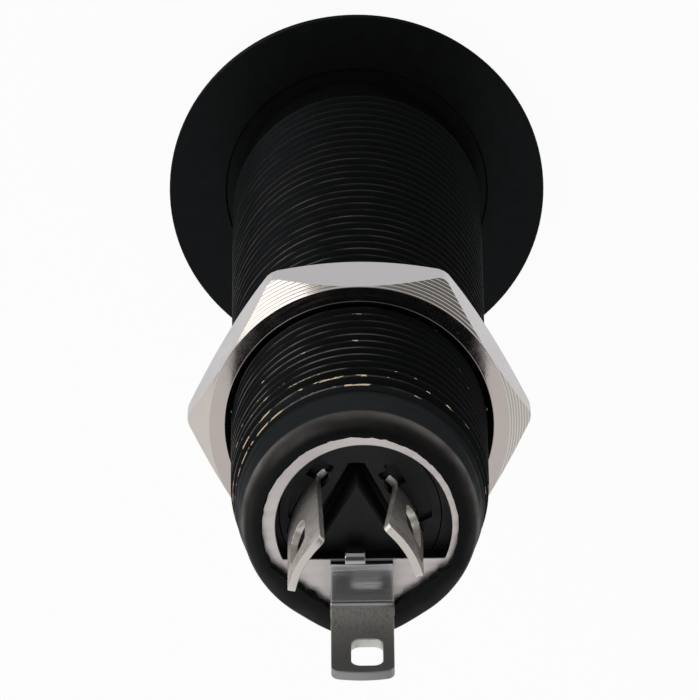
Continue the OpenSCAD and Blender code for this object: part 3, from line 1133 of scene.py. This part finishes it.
@dataclass
class Contact:
    """One contact: a bowed strip with its solder lug, which goes on as a spring inside the liner."""

    node: str
    side: int
    dist: float
    width: float
    flare: float
    eye_inset: float
    touch_z: float
    touch_r: float
    thickness: float = 0.35
    shift: float = 0.9
    shoulder_w: float = 0.45
    shoulder_drop: float = 0.8
    lean_deg: float = 27.5
    bow_r: float = 4.5
    corner_r: float = 0.35
    corner_steps: int = 6
    eye_w: float = 1.4
    eye_len: float = 3.0
    eye_shift: float = 0.1
    eye_steps: int = 8
    spring_w: float = 2.2
    spring_rise: float = 3.0
    spring_out: float = 3.575
    touch_half: float = 2.2
    lead: float = 0.8
    edge_round: float = 0.05
    slope_step: float = 0.01
    across_cuts: int = 14
    spring_cuts: int = 36
    lug_cuts: int = 24
    core_z: float = field(default_factory=lambda: low("contact_insulator").z)
    plate_z: float = field(default_factory=lambda: low("end_plate").z)

    def outline(self) -> list[Point]:
        """Draws the flat strip.

        Returns:
            Place across the strip and height of each point.
        """
        foot, end = low(self.node).z, high(self.node).z
        half, spring, r = self.width / 2, self.spring_w / 2, self.corner_r
        head = self.core_z - FIT_GAP
        shoulder_z = self.plate_z - self.shoulder_drop
        return [(self.shift - spring, foot), (self.shift + spring, foot), (self.shift + spring, head),
                (half + self.shoulder_w, head), (half + self.shoulder_w, shoulder_z), (half, shoulder_z),
                (half, self.plate_z),
                *arc((half + self.flare - r, end - r), (r, r), 0, 90, self.corner_steps),
                *arc((-half + r, end - r), (r, r), 90, 180, self.corner_steps),
                (-half, head), (self.shift - spring, head)]

    def eye(self) -> list[Point]:
        """Outline of the wire eye."""
        middle = (-self.eye_shift, high(self.node).z - self.eye_inset - self.eye_len / 2)
        return rounded_rectangle(middle, self.eye_w, self.eye_len, self.eye_w / 2 - MERGE, self.eye_steps)

    def spring_place(self, z: float) -> float:
        """Works out the distance from the axis to the middle of the strip.

        Args:
            z: Height on the strip.

        Returns:
            The distance.
        """
        risen = smooth((z - self.core_z + self.spring_rise) / self.spring_rise)
        touching = hump((z - self.touch_z) / self.touch_half)
        rise = (self.spring_out - self.dist) * risen
        touch = (self.spring_out - self.touch_r - self.thickness / 2) * touching
        return self.spring_out - rise - touch

    def bent(self, p: Vector) -> Vector:
        """Bends the flat strip.

        Args:
            p: Point of the flat strip.

        Returns:
            Its place on the bent one.
        """
        step = self.slope_step
        slope = (self.spring_place(p.y + step) - self.spring_place(p.y - step)) / (2 * step)
        long = math.hypot(1, slope)
        bow = smooth((p.y - self.core_z + self.lead) / self.lead)
        angle = p.x / self.bow_r
        curl = (math.cos(angle) - 1) * self.bow_r * bow
        out = self.spring_place(p.y) + curl + p.z * (1 + (math.cos(angle) - 1) * bow) / long
        across = p.x + p.z * math.sin(angle) * bow - self.shift
        lean = Matrix.Rotation(math.radians(self.lean_deg), 3, "Z")
        place = lean @ Vector((out, across, p.y - p.z * slope / long))
        place.x *= self.side
        return place

    def build(self) -> BMesh:
        """Builds the contact.

        Returns:
            One closed mesh.
        """
        blank = Blank([self.outline(), self.eye()], self.thickness, self.edge_round)
        foot, end = low(self.node).z, high(self.node).z
        edge = self.shift + self.spring_w / 2
        blank.slice(Axis.ACROSS, steps_between(-self.width / 2, edge, self.across_cuts))
        blank.slice(Axis.ALONG, steps_between(foot, self.core_z, self.spring_cuts))
        blank.slice(Axis.ALONG, steps_between(self.core_z, end, self.lug_cuts))
        return blank.bend(self.bent)

    def dress(self, finish: bpy.types.Material) -> bpy.types.Object:
        """Builds the contact and gives it its plating."""
        return finish_piece(self.build(), self.node, Body.JACK, [finish])


@dataclass
class GroundLug:
    """Strip that lies on the end plate, bends up and ends in a wire hole."""

    width: float = 2.9
    thickness: float = 0.45
    chord: float = 1.75
    end_gap: float = 0.06
    upright_y: float = -3.87
    bend_r: float = 0.25
    bend_cuts: int = 12
    lean_deg: float = 7.0
    hole_w: float = 1.45
    hole_len: float = 2.3
    hole_inset: float = 0.65
    hole_x: float = 0.2
    corner_r: float = 0.45
    end_r: float = 5.0
    round_steps: int = 8
    middle_x: float = 0.05
    tongue_w: float = 0.95
    tongue_x: float = -0.25
    tongue_out: float = 0.46
    tongue_len: float = 0.45
    edge_round: float = 0.05
    seat_z: float = field(default_factory=lambda: high("end_plate").z)
    top: float = field(default_factory=lambda: high("ground_lug").z)
    middle_r: float = field(init=False)
    turn: float = field(init=False)
    bend_y: float = field(init=False)
    bend_z: float = field(init=False)
    flat_len: float = field(init=False)
    bend_len: float = field(init=False)
    length: float = field(init=False)

    def __post_init__(self) -> None:
        """Works out the bend's place and the lengths along the middle of the strip."""
        lean = math.radians(self.lean_deg)
        self.middle_r = self.bend_r + self.thickness / 2
        self.turn = math.radians(90 - self.lean_deg)
        self.bend_y = self.upright_y + self.bend_r
        self.bend_z = self.seat_z + self.thickness + self.bend_r
        self.flat_len = -self.chord - self.end_gap - self.bend_y
        self.bend_len = self.middle_r * self.turn
        rise = self.top - self.bend_z + self.bend_r * math.sin(lean)
        self.length = self.flat_len + self.bend_len + rise / math.cos(lean)

    def bent(self, p: Vector) -> Vector:
        """Bends the flat strip, whose length runs along Y.

        Args:
            p: Point of the flat strip.

        Returns:
            Its place on the bent one.
        """
        along = p.y - self.flat_len
        angle = min(max(along / self.middle_r, 0), self.turn)
        beyond = along - self.middle_r * angle
        reach = self.middle_r - p.z
        y = self.bend_y - reach * math.sin(angle) - beyond * math.cos(angle)
        z = self.bend_z - reach * math.cos(angle) + beyond * math.sin(angle)
        return Vector((p.x + self.middle_x, y, z))

    def outline(self) -> list[Point]:
        """Draws the flat strip, with its convex free end.

        Returns:
            The outline's points.
        """
        half, r, big_r, steps = self.width / 2, self.corner_r, self.end_r, self.round_steps
        off = math.degrees(math.asin((half - r) / (big_r - r)))
        corner_y = self.length - big_r + (big_r - r) * math.cos(math.radians(off))
        return [(-half, 0), (half, 0),
                *arc((half - r, corner_y), (r, r), 0, 90 - off, steps),
                *arc((0, self.length - big_r), (big_r, big_r), 90 - off, 90 + off, steps),
                *arc((r - half, corner_y), (r, r), 90 + off, 180, steps)]

    def add_tongue(self, bm: BMesh) -> None:
        """Adds the tongue that bends down over the straight side of the plate's hole.

        Args:
            bm: Mesh of the lug.
        """
        lug_end = -self.chord - 2 * self.end_gap
        back, front = -self.chord, self.tongue_out - self.chord
        top, foot = self.seat_z + self.thickness, self.seat_z - self.tongue_len
        out = self.tongue_out
        profile = [(lug_end, self.seat_z), (back, self.seat_z), (back, foot), (front, foot),
                   *arc((back, top - out), (out, out), 0, 90, self.round_steps), (lug_end, top)]
        blank = Blank([profile], self.tongue_w, self.edge_round)
        made = blank.bend(lambda p: Vector((p.z + self.tongue_x, p.x, p.y)))
        mesh = bpy.data.meshes.new("tongue")
        made.to_mesh(mesh)
        made.free()
        bm.from_mesh(mesh)
        bpy.data.meshes.remove(mesh)

    def build(self) -> BMesh:
        """Builds the lug.

        Returns:
            A mesh of two closed parts.
        """
        hole = rounded_rectangle((self.hole_x, self.length - self.hole_inset - self.hole_len / 2),
                                 self.hole_w, self.hole_len, self.corner_r, self.round_steps)
        blank = Blank([self.outline(), hole], self.thickness, self.edge_round)
        bend_end = self.flat_len + self.bend_len
        blank.slice(Axis.ALONG, steps_between(self.flat_len, bend_end, self.bend_cuts))
        bm = blank.bend(self.bent)
        self.add_tongue(bm)
        return bm

    def dress(self) -> bpy.types.Object:
        """Builds the lug and gives it its plating."""
        finish = DullNickel(self.seat_z + self.thickness, self.bend_z + self.bend_r, self.top)
        return finish_piece(self.build(), "ground_lug", Body.JACK, [finish.material()])


@dataclass
class Insulation:
    """The liner, whose CAD solid has the right shape, and the contacts' block, with softer grooves."""

    inner_round: float = 0.28
    outer_round: float = 0.2
    round_steps: int = 5
    floor_fall: float = 0.4
    floor_up: float = 0.9
    flank_up: Range = (0.1, 0.7)
    top: float = field(default_factory=lambda: high("contact_insulator").z)

    def is_flank(self, normal: Vector) -> bool:
        """Whether a face with that normal is a flank of a groove."""
        return self.flank_up[0] < normal.z < self.flank_up[1]

    def rims(self, bm: BMesh, inner: bool) -> list[BMEdge]:
        """Finds the edges where the block's face falls into a groove.

        Args:
            bm: Mesh of the block.
            inner: Whether the edges are on the grooves' inner side.

        Returns:
            The edges.
        """
        found = []
        for e in bm.edges:
            if len(e.link_faces) == 2 and all(v.co.z > self.top - MERGE for v in e.verts):
                flank = min(e.link_faces, key=lambda f: f.normal.z).normal
                if self.is_flank(flank) and (flank.y > 0) == inner:
                    found.append(e)
        return found

    def slant_floors(self, bm: BMesh) -> None:
        """Lowers the outer side of the grooves' floors, so that a groove narrows downward.

        Args:
            bm: Mesh of the block.
        """
        lowered = set()
        for e in bm.edges:
            if len(e.link_faces) == 2 and all(v.co.z < self.top - MERGE for v in e.verts):
                flank, floor = sorted((f.normal for f in e.link_faces), key=lambda normal: normal.z)
                if floor.z > self.floor_up and self.is_flank(flank) and flank.y < 0:
                    lowered.update(e.verts)
        bmesh.ops.translate(bm, vec=(0, 0, -self.floor_fall), verts=list(lowered))
        bm.normal_update()

    def block(self) -> BMesh:
        """Copies the block's solid and rounds its grooves.

        Returns:
            The new mesh.
        """
        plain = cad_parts["contact_insulator"].data.copy()
        if "custom_normal" in plain.attributes:
            plain.attributes.remove(plain.attributes["custom_normal"])
        bm = bmesh.new()
        bm.from_mesh(plain)
        bpy.data.meshes.remove(plain)
        bmesh.ops.scale(bm, vec=(1 / MM, 1 / MM, 1 / MM), verts=bm.verts)
        bmesh.ops.remove_doubles(bm, verts=bm.verts, dist=MERGE)
        bmesh.ops.dissolve_limit(bm, angle_limit=FLAT_ANGLE, verts=bm.verts, edges=bm.edges)
        bm.normal_update()
        self.slant_floors(bm)
        for inner, size in ((False, self.outer_round), (True, self.inner_round)):
            round_edges(bm, self.rims(bm, inner), size, self.round_steps)
            bm.normal_update()
        return bm

    def dress(self) -> None:
        """Gives both pieces their plastic."""
        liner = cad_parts["insulating_liner"]
        liner.material_slots[0].material = MouldedPlastic(Slot.LINER_PLASTIC.value).material()
        LOG.info("insulating_liner: CAD solid with %s", liner.material_slots[0].material.name)
        finish_piece(self.block(), "contact_insulator", Body.JACK,
                     [MouldedPlastic(Slot.MOULDED_PLASTIC.value).material()])


@dataclass(frozen=True)
class DimZone:
    """Part of the surroundings that is darker than the rest, such as behind the camera."""

    centre: Triple
    outer_deg: float
    inner_deg: float
    left: float


@dataclass
class Studio:
    """Pale floor, soft light and the camera at the photograph's viewing angle."""

    floor_size: float = 4.0
    floor_colour: Colour = (0.9, 0.9, 0.9, 1)
    floor_roughness: float = 0.9
    floor_glow: float = 0.95
    world_level: float = 0.85
    tilt_deg: float = 22.9
    roll_deg: float = 0.57
    distance: float = 0.7265
    lens: float = 796.6
    aim: Triple = (0.0, 0.0, 23.0)
    aim_right: float = -0.395
    aim_up: float = 0.482
    key_toward: Triple = (-0.7, 0.62, 0.3)
    key_distance: float = 0.4
    key_size: float = 0.32
    key_power: float = 0.58
    dim_zones: tuple[DimZone, ...] = (DimZone((0, 0.389, 0.921), 34, 14, 0.12),
                                      DimZone((0.66, 0.72, 0.25), 55, 20, 0.24),
                                      DimZone((0.95, -0.1, 0.3), 80, 45, 0.68),
                                      DimZone((-0.7, 0.62, 0.3), 52, 30, 0.4))

    def floor(self) -> None:
        """White floor that keeps the jack's shadow."""
        bm = bmesh.new()
        bmesh.ops.create_grid(bm, x_segments=1, y_segments=1, size=self.floor_size / 2)
        mesh = bpy.data.meshes.new("floor")
        bm.to_mesh(mesh)
        bm.free()
        floor = bpy.data.objects.new("floor", mesh)
        bpy.context.scene.collection.objects.link(floor)
        s = Shader("floor_white")
        s.set(Base_Color=self.floor_colour, Roughness=self.floor_roughness, Specular_IOR_Level=0.0)
        path = s.add("ShaderNodeLightPath").outputs
        mirrored = s.math("MAXIMUM", path["Is Glossy Ray"], path["Is Transmission Ray"])
        seen = s.math("MAXIMUM", path["Is Camera Ray"], mirrored)
        glow = s.add("ShaderNodeEmission")
        mix = s.add("ShaderNodeMixShader")
        s.plug(mix.inputs[0], s.product(seen, self.floor_glow))
        s.plug(mix.inputs[1], s.principled.outputs[0])
        s.plug(mix.inputs[2], glow.outputs[0])
        s.plug(s.first("OUTPUT_MATERIAL").inputs["Surface"], mix.outputs[0])
        mesh.materials.append(s.material)

    def world(self) -> None:
        """Soft light from all round, darker in some places, with a white background for the camera."""
        world = bpy.data.worlds.new("studio")
        bpy.context.scene.world = world
        world.use_nodes = True
        nodes = Nodes(world.node_tree)
        background = nodes.first("BACKGROUND").inputs
        nodes.plug(background["Color"], (1, 1, 1, 1))
        direction = nodes.add("ShaderNodeTexCoord").outputs["Generated"]
        path = nodes.add("ShaderNodeLightPath").outputs
        mirrored = nodes.math("MAXIMUM", path["Is Glossy Ray"], path["Is Transmission Ray"])
        strength = nodes.span(mirrored, 0.0, 1.0, self.world_level, 1.0)
        for zone in self.dim_zones:
            facing = nodes.add("ShaderNodeVectorMath", operation="DOT_PRODUCT")
            nodes.plug(facing.inputs[0], direction)
            nodes.plug(facing.inputs[1], Vector(zone.centre).normalized())
            shade = nodes.span(facing.outputs["Value"], math.cos(math.radians(zone.outer_deg)),
                               math.cos(math.radians(zone.inner_deg)), 1.0, zone.left)
            strength = nodes.product(strength, shade)
        nodes.plug(background["Strength"], nodes.math("MAXIMUM", path["Is Camera Ray"], strength))

    def key_light(self) -> None:
        """Square soft box that faces the jack."""
        light = bpy.data.lights.new("key", "AREA")
        light.size = self.key_size
        light.energy = self.key_power
        lamp = bpy.data.objects.new("key", light)
        toward = Vector(self.key_toward).normalized()
        lamp.location = Vector(self.aim) * MM + toward * self.key_distance
        lamp.rotation_mode = "QUATERNION"
        lamp.rotation_quaternion = toward.to_track_quat("Z", "Y")
        lamp.visible_camera = False
        bpy.context.scene.collection.objects.link(lamp)

    def camera(self) -> None:
        """Long lens that looks down on the lug end, tilted off the barrel's axis."""
        tilt = math.radians(self.tilt_deg)
        back = Vector((0, math.sin(tilt), math.cos(tilt)))
        up = Vector((0, math.cos(tilt), -math.sin(tilt)))
        right = Vector((1, 0, 0))
        aim = (Vector(self.aim) + right * self.aim_right + up * self.aim_up) * MM
        data = bpy.data.cameras.new("camera")
        data.lens = self.lens
        camera = bpy.data.objects.new("camera", data)
        roll = Matrix.Rotation(-math.radians(self.roll_deg), 3, "Z")
        camera.rotation_mode = "QUATERNION"
        camera.rotation_quaternion = (Matrix((right, up, back)).transposed() @ roll).to_quaternion()
        camera.location = aim + back * self.distance
        bpy.context.scene.collection.objects.link(camera)
        bpy.context.scene.camera = camera

    def set_up(self) -> None:
        """Makes the whole studio."""
        bpy.context.scene.view_settings.view_transform = "Standard"
        self.camera()
        self.floor()
        self.world()
        self.key_light()
        LOG.info("studio: camera, floor, world and lamp")


def main() -> None:
    """Builds the studio and the pieces."""
    logging.basicConfig(level=logging.INFO, format="%(name)s: %(message)s")
    Studio().set_up()
    Barrel().dress()
    HexNut().dress()
    EndPlate().dress()
    GroundLug().dress()
    strip = NickelPlating("nickel_strip", (0.68, 0.636, 0.59, 1), (0.22, 0.34), mark_depth=0.0008,
                          metallic=0.6).material()
    Contact("tip_contact", 1, dist=2.1, width=2.4, flare=0.55, eye_inset=1.95,
            touch_z=27.5, touch_r=2.3).dress(strip)
    Contact("ring_contact", -1, dist=2.6, width=2.8, flare=0.2, eye_inset=1.4,
            touch_z=23.0, touch_r=2.95).dress(strip)
    Insulation().dress()


if __name__ == "__main__":
    main()
